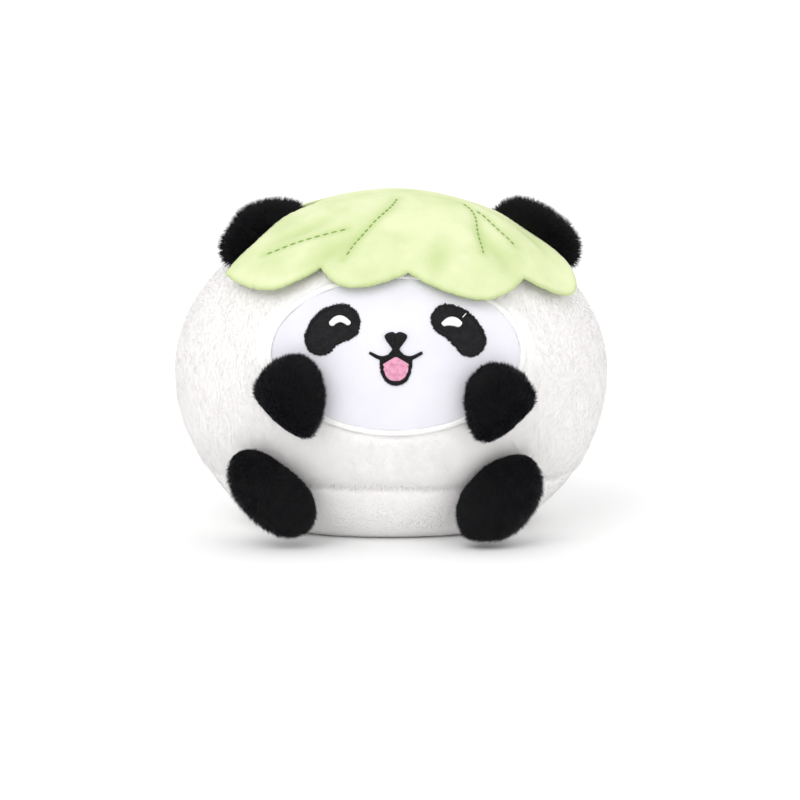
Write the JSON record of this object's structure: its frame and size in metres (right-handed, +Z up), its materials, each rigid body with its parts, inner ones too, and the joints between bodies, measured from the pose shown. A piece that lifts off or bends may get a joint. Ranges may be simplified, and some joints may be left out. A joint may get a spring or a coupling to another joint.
{
  "type": "plush panda",
  "caption": "Round sitting plush panda with an embroidered face, soft swinging arms and feet, bendable ears and a scalloped leaf hat whose front lifts.",
  "frame": {"origin": "middle of the bounding box, at the level of the flat base it sits on", "axes": "the panda looks along -Y, +X runs to its own left hand along the longest side of the toy, +Z is up"},
  "size_m": [0.1124, 0.0943, 0.0865],
  "materials": {
    "white_plush": "short white pile plush",
    "white_velvet": "smooth cool white velvet",
    "black_plush": "black pile plush",
    "black_felt": "matte black fill stitching",
    "black_thread": "black satin stitch",
    "white_thread": "white satin stitch",
    "pink_thread": "pink fill stitch",
    "leaf_cloth": "pale green brushed minky cloth",
    "leaf_thread": "green sewing thread",
    "fibre_filling": "loose polyester fibre"
  },
  "bodies": {
    "arm_left": {"arm_left_inner_panel": "black_plush", "arm_left_outer_panel": "black_plush", "arm_left_stuffing": "fibre_filling"},
    "arm_right": {"arm_right_inner_panel": "black_plush", "arm_right_outer_panel": "black_plush", "arm_right_stuffing": "fibre_filling"},
    "body": {"back_panel_left": "white_plush", "back_panel_right": "white_plush", "base_panel": "white_plush", "body_stuffing": "fibre_filling", "eye_highlight_left": "white_thread", "eye_highlight_right": "white_thread", "eye_patch_edge_left": "black_thread", "eye_patch_edge_right": "black_thread", "eye_patch_left": "black_felt", "eye_patch_right": "black_felt", "face_border": "white_thread", "face_panel": "white_velvet", "front_panel": "white_plush", "leaf_cloth_rear": "leaf_cloth", "leaf_lining_rear": "leaf_cloth", "leaf_vein_rear_left": "leaf_thread", "leaf_vein_rear_middle": "leaf_thread", "leaf_vein_rear_right": "leaf_thread", "mouth_outline": "black_thread", "nose": "black_thread", "tongue": "pink_thread"},
    "ear_left": {"ear_left_back_panel": "black_plush", "ear_left_front_panel": "black_plush"},
    "ear_right": {"ear_right_back_panel": "black_plush", "ear_right_front_panel": "black_plush"},
    "foot_left": {"foot_left_inner_panel": "black_plush", "foot_left_outer_panel": "black_plush", "foot_left_stuffing": "fibre_filling"},
    "foot_right": {"foot_right_inner_panel": "black_plush", "foot_right_outer_panel": "black_plush", "foot_right_stuffing": "fibre_filling"},
    "leaf_front": {"leaf_cloth_front": "leaf_cloth", "leaf_lining_front": "leaf_cloth", "leaf_vein_front_left": "leaf_thread", "leaf_vein_front_left_fork": "leaf_thread", "leaf_vein_front_right": "leaf_thread", "leaf_vein_front_right_fork": "leaf_thread"}
  },
  "joints": [
    {"name": "arm_right_swing", "type": "hinge", "parent": "body", "child": "arm_right", "pos_m": [-0.02798, -0.03607, 0.03266], "axis": [0.7433, -0.2616, -0.6156], "range_deg": [0, 40], "stiffness_Nm_per_rad": 0.004},
    {"name": "arm_left_swing", "type": "hinge", "parent": "body", "child": "arm_left", "pos_m": [0.02959, -0.0351, 0.03104], "axis": [0.7424, 0.2652, 0.6152], "range_deg": [0, 40], "stiffness_Nm_per_rad": 0.004},
    {"name": "foot_right_flex", "type": "hinge", "parent": "body", "child": "foot_right", "pos_m": [-0.02987, -0.02667, 0.01289], "axis": [0.8513, -0.5247, 0], "range_deg": [-8, 8], "stiffness_Nm_per_rad": 0.006},
    {"name": "foot_left_flex", "type": "hinge", "parent": "body", "child": "foot_left", "pos_m": [0.02704, -0.02829, 0.0129], "axis": [0.8838, 0.4678, 0], "range_deg": [-8, 8], "stiffness_Nm_per_rad": 0.006},
    {"name": "ear_right_bend", "type": "hinge", "parent": "body", "child": "ear_right", "pos_m": [-0.03154, -0.00551, 0.07549], "axis": [-0.7428, -0.4288, -0.5142], "range_deg": [0, 25], "stiffness_Nm_per_rad": 0.003},
    {"name": "ear_left_bend", "type": "hinge", "parent": "body", "child": "ear_left", "pos_m": [0.03507, 0.00219, 0.07449], "axis": [-0.7558, 0.4364, 0.4882], "range_deg": [0, 25], "stiffness_Nm_per_rad": 0.003},
    {"name": "leaf_lift", "type": "hinge", "parent": "body", "child": "leaf_front", "pos_m": [0, 0.0047, 0.0866], "axis": [-1, 0, 0], "range_deg": [0, 20], "stiffness_Nm_per_rad": 0.006}
  ]
}
